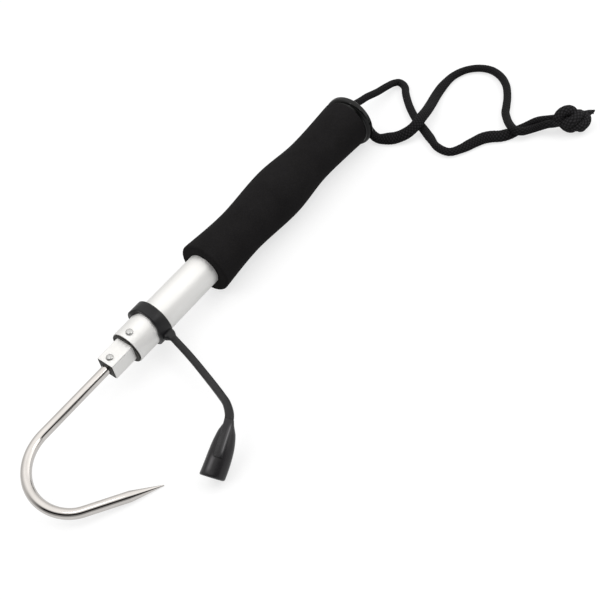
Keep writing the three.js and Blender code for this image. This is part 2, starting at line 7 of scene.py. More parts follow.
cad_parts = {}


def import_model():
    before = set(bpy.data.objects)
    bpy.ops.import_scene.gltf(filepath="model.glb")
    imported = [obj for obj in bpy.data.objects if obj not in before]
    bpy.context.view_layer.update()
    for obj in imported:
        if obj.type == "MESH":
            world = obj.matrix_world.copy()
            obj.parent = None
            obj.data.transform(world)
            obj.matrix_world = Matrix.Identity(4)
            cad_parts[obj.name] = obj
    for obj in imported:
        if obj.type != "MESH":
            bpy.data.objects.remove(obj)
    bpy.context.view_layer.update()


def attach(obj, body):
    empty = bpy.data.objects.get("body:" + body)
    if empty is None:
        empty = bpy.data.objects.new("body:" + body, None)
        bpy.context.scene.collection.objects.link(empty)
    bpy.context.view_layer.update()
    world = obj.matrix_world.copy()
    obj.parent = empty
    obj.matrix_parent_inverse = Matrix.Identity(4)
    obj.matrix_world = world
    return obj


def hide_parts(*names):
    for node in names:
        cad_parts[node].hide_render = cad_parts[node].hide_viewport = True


# A telescopic fishing gaff with its shaft pushed in, lying on a pale floor.
# Sizes are in millimetres here and become metres where a mesh is made. Along the
# shaft X is counted from the front edge of the CAD bushing, and z from the floor.

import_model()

MM = 0.001
FOOT = Vector((-71.5556, 42.7131, 0.0))  # the shaft's X zero on the floor
AXIS_Z = 19.5
ROLL = math.radians(14.7408)  # how far the gaff leans over onto its hook
SHAFT = Matrix.Translation((0, 0, AXIS_Z))
ROLLED = SHAFT @ Matrix.Rotation(ROLL, 4, "X")
FLAT = Matrix.Identity(4)


# Camera

CAMERA_PLACE = Vector((-0.22096, -0.31749, 0.3426))
CAMERA_AHEAD = Vector((0.4578, 0.5864, -0.6682)).normalized()
CAMERA_UP = Vector((0.6707, 0.2656, 0.6925))
LENS, SENSOR = 51, 36


def add_camera():
    right = CAMERA_AHEAD.cross(CAMERA_UP.normalized()).normalized()
    up = right.cross(CAMERA_AHEAD)
    data = bpy.data.cameras.new("camera")
    data.lens = LENS
    data.sensor_width = SENSOR
    data.clip_start = 0.01
    camera = bpy.data.objects.new("camera", data)
    turn = Matrix((right, up, -CAMERA_AHEAD)).transposed()
    camera.matrix_world = Matrix.Translation(CAMERA_PLACE) @ turn.to_4x4()
    bpy.context.scene.collection.objects.link(camera)
    bpy.context.scene.camera = camera


add_camera()


# Mesh making

UV_PER_MM = 0.05
YARNS_ROUND = 8  # of the cord's braid, in each of its two directions
YARNS_PER_MM = 0.45
SHARP = 32  # degrees between faces, from which an edge is drawn sharp


def mesh_object(name, points, faces, uvs, place=FLAT, sharp=SHARP):
    """One mesh from points in millimetres; uvs holds one pair for each face corner."""
    mesh = bpy.data.meshes.new(name)
    mesh.from_pydata([(place @ Vector(p) + FOOT) * MM for p in points], [], faces)
    layer = mesh.uv_layers.new(name="UVMap")
    for loop, uv in zip(layer.data, [pair for face in uvs for pair in face]):
        loop.uv = uv
    shape = bmesh.new()
    shape.from_mesh(mesh)
    bmesh.ops.remove_doubles(shape, verts=shape.verts, dist=1e-7)
    bmesh.ops.recalc_face_normals(shape, faces=shape.faces)
    shape.to_mesh(mesh)
    shape.free()
    mesh.polygons.foreach_set("use_smooth", [True] * len(mesh.polygons))
    mesh.set_sharp_from_angle(angle=math.radians(sharp))
    piece = bpy.data.objects.new(name, mesh)
    bpy.context.scene.collection.objects.link(piece)
    return piece


def finish_piece(piece, material, slot, body, *nodes):
    """Gives a piece its material, its body and the CAD nodes that it replaces; slot is not used."""
    piece.data.materials.append(material)
    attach(piece, body)
    if nodes:
        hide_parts(*nodes)
    return piece


def run_lengths(path):
    """The length of the way from a path's start to each of its points."""
    along = [0.0]
    for a, b in zip(path, path[1:]):
        along.append(along[-1] + (Vector(b) - Vector(a)).length)
    return along


def skin(rings, loop=False, ends=(False, False), along=None):
    """Quads between rings of points. Returns points, faces and uvs, u along and v round."""
    count, sides = len(rings), len(rings[0])
    points = [p for ring in rings for p in ring]
    if along is None:
        along = run_lengths([ring[0] for ring in rings + rings[:1]])
    faces, uvs = [], []
    for i in range(count if loop else count - 1):
        k = (i + 1) % count
        u0, u1 = along[i] * UV_PER_MM, along[i + 1] * UV_PER_MM
        for j in range(sides):
            n = (j + 1) % sides
            faces.append((i * sides + j, i * sides + n, k * sides + n, k * sides + j))
            v0, v1 = j / sides, (j + 1) / sides
            uvs.append([(u0, v0), (u0, v1), (u1, v1), (u1, v0)])
    for wanted, i in zip(ends, (0, count - 1)):
        if wanted:
            faces.append([i * sides + j for j in range(sides)])
            uvs.append([(0.0, 0.0)] * sides)
    return points, faces, uvs


def turns(sides):
    """Angles in even steps round a circle."""
    return [2 * math.pi * j / sides for j in range(sides)]


def circle_ring(x, radius, sides=128):
    return [(x, radius * math.cos(a), radius * math.sin(a)) for a in turns(sides)]


def square_ring(x, side, corner, steps=7):
    half = side / 2 - corner
    ring = []
    for k, (sy, sz) in enumerate(((1, 1), (-1, 1), (-1, -1), (1, -1))):
        for i in range(steps + 1):
            a = math.pi / 2 * (k + i / steps)
            ring.append((x, sy * half + corner * math.cos(a), sz * half + corner * math.sin(a)))
    return ring


def arc(x, radius, size, start, end, steps=5):
    """Points of a rounded edge in (x, radius), angles in degrees from +x towards +radius."""
    angles = [math.radians(start + (end - start) * i / steps) for i in range(steps + 1)]
    return [(x + size * math.cos(a), radius + size * math.sin(a)) for a in angles]


def turned(name, profile, place=SHAFT, loop=True, sides=128, sharp=SHARP):
    """A profile of (x, radius) turned round the X axis."""
    rings = [circle_ring(x, max(r, 0.001), sides) for x, r in profile]
    return mesh_object(name, *skin(rings, loop=loop), place=place, sharp=sharp)


# Curves

STRETCH_STEPS = 24  # steps between two given points of a curve


def between(stops, share):
    """The value at a share of the way, eased between (share, value) stops."""
    for (s0, v0), (s1, v1) in zip(stops, stops[1:]):
        if share <= s1:
            mix = (share - s0) / (s1 - s0)
            return v0 + (v1 - v0) * mix * mix * (3 - 2 * mix)
    return stops[-1][1]


def centripetal(points, count):
    """The smooth curve through points, in even steps."""
    pts = [Vector(p) for p in points]
    pts = [2 * pts[0] - pts[1]] + pts + [2 * pts[-1] - pts[-2]]
    fine = []
    for i in range(1, len(pts) - 2):
        p0, p1, p2, p3 = pts[i - 1:i + 3]
        d0, d1, d2 = [max((b - a).length ** 0.5, 1e-6) for a, b in ((p0, p1), (p1, p2), (p2, p3))]
        t1 = ((p1 - p0) / d0 - (p2 - p0) / (d0 + d1) + (p2 - p1) / d1) * d1
        t2 = ((p2 - p1) / d1 - (p3 - p1) / (d1 + d2) + (p3 - p2) / d2) * d1
        for k in range(STRETCH_STEPS):
            t = k / STRETCH_STEPS
            fine.append((2 * t ** 3 - 3 * t ** 2 + 1) * p1 + (t ** 3 - 2 * t ** 2 + t) * t1
                        + (3 * t ** 2 - 2 * t ** 3) * p2 + (t ** 3 - t ** 2) * t2)
    fine.append(pts[-2])
    return evenly(fine, count)


def evenly(fine, count):
    run = run_lengths(fine)
    out, k = [], 0
    for i in range(count + 1):
        want = run[-1] * i / count
        while k < len(run) - 2 and run[k + 1] < want:
            k += 1
        share = (want - run[k]) / max(run[k + 1] - run[k], 1e-9)
        out.append(fine[k].lerp(fine[k + 1], min(max(share, 0), 1)))
    return out


def uniform_spline(points, steps):
    """The smooth curve through (x, radius) points, with the same steps in each stretch."""
    out = []
    for i in range(len(points) - 1):
        p0, p1 = points[max(i - 1, 0)], points[i]
        p2, p3 = points[i + 1], points[min(i + 2, len(points) - 1)]
        for k in range(steps):
            t = k / steps
            pair = []
            for a, b, c, d in zip(p0, p1, p2, p3):
                v0, v1 = (c - a) / 2, (d - b) / 2
                pair.append((2 * b - 2 * c + v0 + v1) * t ** 3
                            + (-3 * b + 3 * c - 2 * v0 - v1) * t ** 2 + v0 * t + b)
            out.append(tuple(pair))
    out.append(points[-1])
    return out


def tangents(path):
    last = len(path) - 1
    return [(path[min(i + 1, last)] - path[max(i - 1, 0)]).normalized() for i in range(last + 1)]


def carried_sides(path, first_side):
    """Side directions that turn with the path and never twist round it."""
    ways = tangents(path)
    side = (first_side - ways[0] * first_side.dot(ways[0])).normalized()
    sides = [side]
    for a, b in zip(ways, ways[1:]):
        side = a.rotation_difference(b) @ side
        side = (side - b * side.dot(b)).normalized()
        sides.append(side)
    return sides


def rod_rings(path, radius, sides):
    """Circles along a path; radius(share) gives their size."""
    rings = []
    for i, (p, way, up) in enumerate(zip(path, tangents(path), carried_sides(path, Vector((0, 0, 1))))):
        across = way.cross(up)
        r = radius(i / (len(path) - 1))
        rings.append([tuple(p + up * (r * math.sin(a)) + across * (r * math.cos(a))) for a in turns(sides)])
    return rings


# Material making

class Look:
    """A material's node tree with short calls for the nodes used here."""

    def __init__(self, name, **sockets):
        self.material = bpy.data.materials.new(name)
        self.material.use_nodes = True
        self.tree = self.material.node_tree
        self.shader = self.tree.nodes["Principled BSDF"]
        for key, value in sockets.items():
            self.shader.inputs[key.replace("_", " ")].default_value = value

    def node(self, kind, **settings):
        made = self.tree.nodes.new(kind)
        for key, value in settings.items():
            setattr(made, key, value)
        return made

    def link(self, a, b):
        self.tree.links.new(a, b)

    def place(self, scale=(1, 1, 1)):
        source = self.node("ShaderNodeTexCoord")
        mapping = self.node("ShaderNodeMapping")
        mapping.inputs["Scale"].default_value = scale
        self.link(source.outputs["Object"], mapping.inputs["Vector"])
        return mapping.outputs["Vector"]

    def unrolled(self):
        """The UV map's two directions: along the piece and round it."""
        split = self.node("ShaderNodeSeparateXYZ")
        self.link(self.node("ShaderNodeTexCoord").outputs["UV"], split.inputs["Vector"])
        return split.outputs["X"], split.outputs["Y"]

    def noise(self, where, scale, detail=3.0, rough=0.55):
        made = self.node("ShaderNodeTexNoise")
        made.inputs["Scale"].default_value = scale
        made.inputs["Detail"].default_value = detail
        made.inputs["Roughness"].default_value = rough
        self.link(where, made.inputs["Vector"])
        return made.outputs["Fac"]

    def cells(self, where, scale):
        made = self.node("ShaderNodeTexVoronoi", feature="F1")
        made.inputs["Scale"].default_value = scale
        self.link(where, made.inputs["Vector"])
        return made.outputs["Distance"]

    def span(self, value, low, high, start=0.0, end=1.0):
        made = self.node("ShaderNodeMapRange")
        self.link(value, made.inputs["Value"])
        made.inputs["From Min"].default_value = start
        made.inputs["From Max"].default_value = end
        made.inputs["To Min"].default_value = low
        made.inputs["To Max"].default_value = high
        return made.outputs["Result"]

    def maths(self, operation, a, b=None):
        made = self.node("ShaderNodeMath", operation=operation)
        for slot, value in enumerate((a, b)):
            if value is None:
                continue
            if isinstance(value, (int, float)):
                made.inputs[slot].default_value = value
            else:
                self.link(value, made.inputs[slot])
        return made.outputs[0]

    def mixed(self, first, second, second_share):
        return self.maths("ADD", self.maths("MULTIPLY", first, 1 - second_share),
                          self.maths("MULTIPLY", second, second_share))

    def shades(self, value, *stops):
        """A colour ramp from (place, (r, g, b)) stops into the base colour."""
        holder = self.node("ShaderNodeValToRGB")
        fill_ramp(holder, stops)
        self.link(value, holder.inputs["Fac"])
        self.link(holder.outputs["Color"], self.shader.inputs["Base Color"])

    def roughness(self, value):
        self.link(value, self.shader.inputs["Roughness"])

    def bump(self, height, strength, distance):
        made = self.node("ShaderNodeBump")
        made.inputs["Strength"].default_value = strength
        made.inputs["Distance"].default_value = distance
        self.link(height, made.inputs["Height"])
        before = self.shader.inputs["Normal"].links
        if before:
            self.link(before[0].from_socket, made.inputs["Normal"])
        self.link(made.outputs["Normal"], self.shader.inputs["Normal"])

    def paint_highlight(self, centre, half, start, end, colour, share):
        """A painted highlight: a paler streak along the piece, centre and half width round it, start and end
        along it.
        """
        fade = 0.15
        along, around = self.unrolled()
        away = self.maths("ABSOLUTE", self.maths("SUBTRACT", around, centre))
        amount = self.maths("MULTIPLY", self.span(away, 1, 0, 0, half),
                            self.span(along, 0, 1, start, start + fade))
        amount = self.maths("MULTIPLY", amount, self.span(along, share, 0, end - fade, end))
        mix = self.node("ShaderNodeMix", data_type="RGBA")
        base = self.shader.inputs["Base Color"]
        self.link(amount, mix.inputs["Factor"])
        self.link(base.links[0].from_socket, mix.inputs["A"])
        mix.inputs["B"].default_value = (*colour, 1)
        self.link(mix.outputs["Result"], base)


def fill_ramp(holder, stops):
    elements = holder.color_ramp.elements
    while len(elements) < len(stops):
        elements.new(0.5)
    for element, (place, colour) in zip(elements, stops):
        element.position = place
        element.color = (*colour, 1)


def satin_aluminium():
    look = Look("satin_aluminium", Metallic=0.8, Roughness=0.59)
    drawn = look.noise(look.place(scale=(6, 900, 900)), 1.0, 3, 0.6)
    clouds = look.noise(look.place(), 60, 3)
    look.shades(look.mixed(drawn, clouds, 0.5), (0.3, (0.92, 0.915, 0.9)), (0.7, (0.965, 0.96, 0.945)))
    look.roughness(look.span(drawn, 0.47, 0.56))
    look.bump(drawn, 0.12, 0.0001)
    return look.material


def polished_steel():
    look = Look("polished_steel", Metallic=1.0, Roughness=0.1)
    smudge = look.noise(look.place(), 90, 4, 0.6)
    fine = look.noise(look.place(), 900, 2)
    look.shades(smudge, (0.3, (0.66, 0.635, 0.61)), (0.7, (0.735, 0.705, 0.68)))
    look.roughness(look.span(smudge, 0.05, 0.11))
    look.bump(fine, 0.015, 0.00005)
    return look.material


def rivet_metal():
    look = Look("rivet_metal", Metallic=1.0, Roughness=0.3)
    grain = look.noise(look.place(), 700, 4, 0.6)
    look.shades(grain, (0.3, (0.48, 0.48, 0.475)), (0.7, (0.64, 0.64, 0.63)))
    look.roughness(look.span(grain, 0.2, 0.34))
    look.bump(grain, 0.1, 0.0002)
    return look.material


def moulded(name, dark, pale, rough, grain_scale, strength, specular, painted_highlight_streak=None):
    """Plastic or rubber from a mould, with a fine grain and perhaps a painted highlight streak."""
    look = Look(name, Specular_IOR_Level=specular)
    broad = look.noise(look.place(), 55, 3)
    grain = look.noise(look.place(), grain_scale, 3, 0.6)
    look.shades(broad, (0.3, dark), (0.7, pale))
    look.roughness(look.span(grain, *rough))
    look.bump(grain, strength, 0.0002)
    if painted_highlight_streak:
        look.paint_highlight(*painted_highlight_streak)
    return look.material


def rubber(name, dark, pale, rough, specular, painted_highlight_streak=None):
    return moulded(name, dark, pale, rough, grain_scale=620, strength=0.3, specular=specular, painted_highlight_streak=painted_highlight_streak)


def black_foam():
    look = Look("black_foam", Roughness=0.9, Specular_IOR_Level=0.1)
    pores = look.cells(look.place(), 1500)
    broad = look.noise(look.place(), 70, 3)
    look.shades(look.mixed(pores, broad, 0.6),
                (0.25, (0.007, 0.0065, 0.0067)), (0.75, (0.0155, 0.0145, 0.015)))
    look.roughness(look.span(broad, 0.82, 0.96))
    look.bump(pores, 0.35, 0.0002)
    return look.material


def black_cord(name, dark, pale):
    """A braid: two sets of yarns that cross, with loose fibres."""
    look = Look(name, Roughness=0.85, Specular_IOR_Level=0.2)
    along, around = look.unrolled()
    along = look.maths("MULTIPLY", along, YARNS_PER_MM / UV_PER_MM)
    around = look.maths("MULTIPLY", around, YARNS_ROUND)

    def yarns(operation):
        phase = look.maths("MULTIPLY", look.maths(operation, along, around), math.pi)
        return look.maths("ABSOLUTE", look.maths("SINE", phase))

    weave = look.maths("MULTIPLY", yarns("ADD"), yarns("SUBTRACT"))
    fibres = look.noise(look.place(), 1000, 3, 0.7)
    look.shades(look.mixed(weave, fibres, 0.45), (0.3, dark), (0.66, pale))
    look.roughness(look.span(fibres, 0.72, 0.95))
    look.bump(weave, 0.5, 0.0004)
    look.bump(fibres, 0.3, 0.0002)
    return look.material


ALUMINIUM = satin_aluminium()
STEEL = polished_steel()
RIVET = rivet_metal()
GLOSS_PLASTIC = moulded("black_plastic", dark=(0.003, 0.003, 0.003), pale=(0.006, 0.006, 0.006),
                        rough=(0.10, 0.18), grain_scale=420, strength=0.05, specular=0.27)
DARK_PLASTIC = moulded("dark_plastic", dark=(0.010, 0.0095, 0.007), pale=(0.024, 0.0225, 0.017),
                       rough=(0.45, 0.6), grain_scale=900, strength=0.15, specular=0.3)
RUBBER = rubber("black_rubber", dark=(0.004, 0.004, 0.005), pale=(0.012, 0.012, 0.013),
                rough=(0.26, 0.44), specular=0.35)
# A painted highlight streak is its centre, half width, start and end on the UV map, its colour and its share;
# on the rib it paints a highlight along its lit bevel
RIB_RUBBER = rubber("black_rubber_rib", dark=(0.008, 0.0075, 0.009), pale=(0.016, 0.015, 0.0165),
                    rough=(0.26, 0.44), specular=0.4,
                    painted_highlight_streak=(0.26, 0.15, 0.08, 0.98, (0.17, 0.165, 0.17), 0.9))
# The cap's streak paints a soft sheen on its body
CAP_RUBBER = rubber("black_rubber_cap", dark=(0.009, 0.008, 0.0095), pale=(0.017, 0.0155, 0.0175),
                    rough=(0.24, 0.4), specular=0.4,
                    painted_highlight_streak=(0.315, 0.04, 1.08, 1.62, (0.12, 0.115, 0.12), 0.85))
FOAM = black_foam()
CORD = black_cord("black_cord", dark=(0.0008, 0.0008, 0.0009), pale=(0.0150, 0.0143, 0.0157))
# The knot's cord: the same braid with paler yarn, painted lighter for the light that falls on the knot's
# faces
KNOT_CORD = black_cord("black_cord_painted_lighter", dark=(0.004, 0.0038, 0.0041), pale=(0.026, 0.0248, 0.0270))


# Lanyard: the routes lie where their solids lie, in metres

LUG_EYE_X = 237.9
CORD_RADIUS = 2.8
STRAND_A = [
    (0.2400, 0.0094, 0.0194), (0.2460, 0.0113, 0.0182), (0.2526, 0.0111, 0.0165),
    (0.2595, 0.0108, 0.0148), (0.2683, 0.0106, 0.0130), (0.2744, 0.0103, 0.0112),
    (0.2808, 0.0101, 0.0093), (0.2919, 0.0097, 0.0069), (0.2993, 0.0091, 0.0050),
    (0.3036, 0.0073, 0.0033), (0.3022, 0.0026, 0.0030), (0.2986, -0.0018, 0.0030),
    (0.2920, -0.0065, 0.0030), (0.2840, -0.0131, 0.0030), (0.2753, -0.0211, 0.0030),
    (0.2641, -0.0332, 0.0030), (0.2545, -0.0457, 0.0030), (0.2471, -0.0552, 0.0030),
    (0.2395, -0.0652, 0.0030), (0.2371, -0.0761, 0.0030), (0.2426, -0.0822, 0.0030),
    (0.2499, -0.0864, 0.0030), (0.2565, -0.0907, 0.0030), (0.2595, -0.0950, 0.0030),
    (0.2619, -0.1007, 0.0028), (0.2659, -0.1053, 0.0027), (0.2699, -0.1084, 0.0028),
    (0.2735, -0.1114, 0.0034), (0.2769, -0.1154, 0.0050), (0.2786, -0.1199, 0.0069),
]
STRAND_B = [
    (0.2380, -0.0080, 0.0170), (0.2379, -0.0100, 0.0126), (0.2377, -0.0117, 0.0080),
    (0.2374, -0.0143, 0.0044), (0.2371, -0.0183, 0.0030), (0.2384, -0.0241, 0.0030),
    (0.2405, -0.0304, 0.0035), (0.2443, -0.0376, 0.0060), (0.2504, -0.0413, 0.0082),
    (0.2590, -0.0412, 0.0091), (0.2702, -0.0391, 0.0076), (0.2828, -0.0350, 0.0048),
    (0.2962, -0.0312, 0.0030), (0.3089, -0.0299, 0.0030), (0.3209, -0.0311, 0.0030),
    (0.3296, -0.0362, 0.0030), (0.3340, -0.0446, 0.0030), (0.3337, -0.0545, 0.0030),
    (0.3281, -0.0655, 0.0030), (0.3181, -0.0756, 0.0030), (0.3049, -0.0836, 0.0030),
    (0.2937, -0.0886, 0.0030), (0.2875, -0.0912, 0.0030), (0.2813, -0.0953, 0.0034),
    (0.2744, -0.1007, 0.0046), (0.2684, -0.1067, 0.0059), (0.2656, -0.1115, 0.0065),
    (0.2662, -0.1148, 0.0061), (0.2693, -0.1169, 0.0052), (0.2721, -0.1190, 0.0048),
    (0.2742, -0.1223, 0.0054),
]

# The cord lies flattened in places, there partly on its edge: whole widths in mm and
# the lean of its flat side in degrees, at shares of its length
WIDTHS_A = ((0, 5.2), (0.2, 5.3), (0.27, 5.8), (0.35, 5.6), (0.5, 5.6), (0.56, 6.3), (0.61, 6.4),
            (0.65, 5.2), (0.69, 5.8), (0.73, 6.4), (0.77, 7.6), (0.82, 8.7), (0.86, 8.4), (0.9, 6.8),
            (0.94, 5.6), (1, 5.2))
WIDTHS_B = ((0, 5.2), (0.06, 6.0), (0.09, 7.2), (0.13, 9.4), (0.165, 9.0), (0.2, 8.0), (0.3, 8.0),
            (0.4, 7.8), (0.46, 6.4), (0.52, 6.1), (0.59, 5.5), (0.71, 5.3), (0.79, 5.5), (0.88, 5.4),
            (0.93, 5.0), (1, 5.2))
LEANS_A = ((0, 0), (0.7, 0), (0.77, 24), (0.88, 24), (0.93, 0), (1, 0))
LEANS_B = ((0, 0), (0.06, 0), (0.11, 28), (0.22, 26), (0.3, 14), (0.45, 12), (0.52, 0), (1, 0))
FLATTEST, FULLEST = 4.8, 5.2  # the least and the greatest height of a strand
WIDTH_TIMES_HEIGHT = 28.5
LEAN_WAY = Vector((-0.615, -0.788, 0))  # a leaning strand turns its flat side this way
SETTLE_WAY = Vector((-0.685, -0.877, 1))  # up along the photo's line of sight

STRAND_STEPS = 560
SETTLING_STEPS = 60  # from the lug, over which the settling grows to its full amount

# The knot's own X runs along its leads and its Z is up
KNOT_WAY = math.radians(-65)
KNOT = Matrix.Translation((283.4, -142.0, 8.7)) @ Matrix.Rotation(KNOT_WAY, 4, "Z")
KNOT_NECK = 12.5
LEAD_ASIDE, LEAD_RISE, LEAD_WIDTH = 2.4, 0.2, 5.2

# Its cords in view are (right, up, near) in the photo's view from its middle, the ones
# behind and below are in the knot's own axes. Each has its radius first.
KNOT_SIDES = (Vector((0.94, 0.2055, -0.2718)), Vector((0.043, 0.72, 0.6925)),
              Vector((0.338, -0.663, 0.668)))
KNOT_SEEN = (
    (3.3, ((-9.2, -1, -1.5), (-9.0, 2.0, 0.8), (-7.1, 4.0, 2.6), (-3.9, 4.9, 3.4), (-1.4, 4.0, 3.0),
           (-0.4, 1.6, 1.2))),
    (3.3, ((5.2, 2.5, -2.5), (3.6, 2.6, 1.4), (1.2, 0.6, 4.2), (-1.6, -2.2, 4.6), (-4.2, -3.2, 2.4),
           (-6.2, -3.6, -0.8))),
    (3.2, ((-2, -4.6, 0.5), (1, -5.2, 2.2), (4.8, -4.9, 3), (7.1, -2.8, 2.8), (7.9, 0.2, 1.6),
           (6.6, 2.4, -0.6), (4.5, 2.2, -3))),
)
KNOT_BEHIND = (
    (3.2, ((-7.5, 4, -1), (-6, 2, -4.2), (-3.5, -0.5, -5.4), (-1, -3, -4.6), (0.5, -5, -2))),
    (3.2, ((0, 6, -1), (1.5, 4, -4.4), (3, 0.5, -5.4), (4.5, -3, -4.8), (6, -5, -2))),
    (3.2, ((-7, 3.8, 1.2), (-3, 4.9, 1.6), (1.5, 4.4, 0.6), (5.5, 3.0, -0.6))),
    (4.8, ((-7, 0, -0.5), (-2, 0, -0.5), (2, 0, -0.5), (6, 0, -0.5))),
)
# The cut end and a tuft beside it: points, and radii at shares of the length
KNOT_TAIL = ((5.0, 1.8, 0), (6.5, 2.2, 0.2), (9.2, 3.4, 0.4), (11.4, 4.3, 0.5), (12.6, 4.7, 0.5),
             (13.9, 5.6, 0.6))
TAIL_RADII = ((0, 2.8), (0.3, 2.6), (0.55, 2.1), (0.75, 1.5), (0.88, 1.0), (1, 0.4))
KNOT_TUFT = ((10.2, 3.8, 0.4), (11.2, 4.1, 0.4), (12.4, 3.7, 0.5), (13.3, 3.2, 0.5))
TUFT_RADII = ((0, 0.9), (0.6, 0.6), (1, 0.25))


def braid(run, round_share):
    """How far the crossing yarns stand out at a place on the cord, from 0 to 1."""
    one = math.sin(math.pi * (YARNS_PER_MM * run + YARNS_ROUND * round_share))
    two = math.sin(math.pi * (YARNS_PER_MM * run - YARNS_ROUND * round_share))
    return abs(one * two)


def braided(path, width, height, ups, sides=40, relief=0.13):
    """A braided cord's skin; width(share) and height(share) are whole sizes."""
    along = run_lengths(path)
    rings = []
    for i, (p, way, up) in enumerate(zip(path, tangents(path), ups)):
        share = i / (len(path) - 1)
        across = way.cross(up).normalized()
        up = across.cross(way)
        ring = []
        for j, a in enumerate(turns(sides)):
            grow = relief * braid(along[i], j / sides)
            ring.append(tuple(p + up * ((height(share) / 2 + grow) * math.sin(a))
                              + across * ((width(share) / 2 + grow) * math.cos(a))))
        rings.append(ring)
    return skin(rings, ends=(True, True), along=along)


def strand(name, side, route, nodes, widths, leans):
    """One strand from the middle of the lug's eye into the knot, and its path in metres."""
    start = [(LUG_EYE_X, side * y, AXIS_Z) for y in (0.2, 3.1, 5.3)]
    ends = [KNOT @ Vector((-KNOT_NECK - before, side * LEAD_ASIDE, side * LEAD_RISE))
            for before in (CORD_RADIUS, 0.3, -2.0)]
    path = centripetal(start + [Vector(p) / MM for p in route] + ends, STRAND_STEPS)

    def width(share):
        return between(widths, share)

    def height(share):
        return min(max(WIDTH_TIMES_HEIGHT / width(share), FLATTEST), FULLEST)

    ups, settled = [], []
    for i, p in enumerate(path):
        share = i / STRAND_STEPS
        lean = math.radians(between(leans, share))
        ups.append(LEAN_WAY * math.sin(lean) + Vector((0, 0, math.cos(lean))))
        half = math.hypot(width(share) / 2 * math.sin(lean), height(share) / 2 * math.cos(lean))
        settled.append(p - SETTLE_WAY * ((CORD_RADIUS - half) * min(i / SETTLING_STEPS, 1)))
    piece = mesh_object(name, *braided(settled, width, height, ups))
    finish_piece(piece, CORD, "black_cord", "handle", *nodes)
    return piece, [(p + FOOT) * MM for p in settled]


def knot():
    """A tight overhand knot of the doubled cord with its cut end."""
    dome_share = 0.16  # of a cord's length, at either end

    def seen(points):
        return [sum((side * value for side, value in zip(KNOT_SIDES, point)), Vector())
                for point in points]

    def run(points, steps, size, sides=40):
        path = centripetal(points, steps)
        return braided(path, size, size, carried_sides(path, Vector((0.3, 0.2, 1))), sides, relief=0.09)

    def rounded(radius):
        """A size that ends in domes."""
        def size(share):
            inside = min(share, 1 - share) / dome_share
            return 2 * radius * (math.sqrt(max(1 - (1 - inside) ** 2, 0.0001)) if inside < 1 else 1.0)
        return size

    def tapered(radii):
        return lambda share: 2 * between(radii, share)

    meshes = [run(seen(points), 60, rounded(radius)) for radius, points in KNOT_SEEN]
    meshes += [run(points, 60, rounded(radius)) for radius, points in KNOT_BEHIND]
    for side in (-1, 1):
        lead = [(-KNOT_NECK + x, side * (LEAD_ASIDE - 0.4 * x / 12), side * LEAD_RISE)
                for x in (0, 3, 6, 9, 12)]
        meshes.append(run(lead, 24, lambda share: LEAD_WIDTH))
    meshes.append(run(seen(KNOT_TAIL), 40, tapered(TAIL_RADII), 24))
    meshes.append(run(seen(KNOT_TUFT), 20, tapered(TUFT_RADII), 24))
    points, faces, uvs = [], [], []
    for p, f, u in meshes:
        faces += [[k + len(points) for k in face] for face in f]
        points += p
        uvs += u
    piece = mesh_object("lanyard_knot_cord", points, faces, uvs, place=KNOT)
    return finish_piece(piece, KNOT_CORD, "black_cord", "handle", "lanyard_knot")


knot_piece = knot()
strand_a, path_a = strand("lanyard_cord_a", 1, STRAND_A, ["lanyard_strand_a", "lanyard_bridge"],
                          WIDTHS_A, LEANS_A)
strand_b, path_b = strand("lanyard_cord_b", -1, STRAND_B, ["lanyard_strand_b"], WIDTHS_B, LEANS_B)


# Tubes

TUBE_RADIUS, TUBE_BORE = 11.0, 9.8
TUBE_MOUTH, TUBE_REAR = 0.05, 227.0
SQUARE_SIDE, SQUARE_BORE = 12.2, 10.2
SQUARE_FRONT, SQUARE_REAR = -17.0, 187.0
BUSHING_AHEAD = 0.85  # how far the photo shows it ahead of its solid
BUSHING_REAR = 22.0


def outer_tube():
    edge = 0.25
    profile = arc(TUBE_MOUTH + edge, TUBE_RADIUS - edge, edge, 180, 90)
    profile += [(TUBE_REAR, TUBE_RADIUS), (TUBE_REAR, TUBE_BORE), (TUBE_MOUTH, TUBE_BORE)]
    piece = turned("round_tube", profile, place=ROLLED)
    return finish_piece(piece, ALUMINIUM, "satin_aluminium", "handle", "outer_tube")


def inner_tube():
    """A square tube whose mouth is rounded outside and thinned inside."""
    side, bore, front = SQUARE_SIDE, SQUARE_BORE, SQUARE_FRONT
    rings = [square_ring(front + 0.25, side, 0.9), square_ring(front + 0.07, side - 0.14, 0.85),
             square_ring(front, side - 0.4, 0.7), square_ring(front + 0.03, 11.3, 0.65),
             square_ring(front + 0.5, 11.1, 0.6), square_ring(front + 2.0, bore, 0.6),
             square_ring(SQUARE_REAR, bore, 0.6), square_ring(SQUARE_REAR, side, 0.9)]
    piece = mesh_object("square_tube", *skin(rings, loop=True), place=ROLLED)
    return finish_piece(piece, ALUMINIUM, "satin_aluminium", "inner_section", "inner_tube")


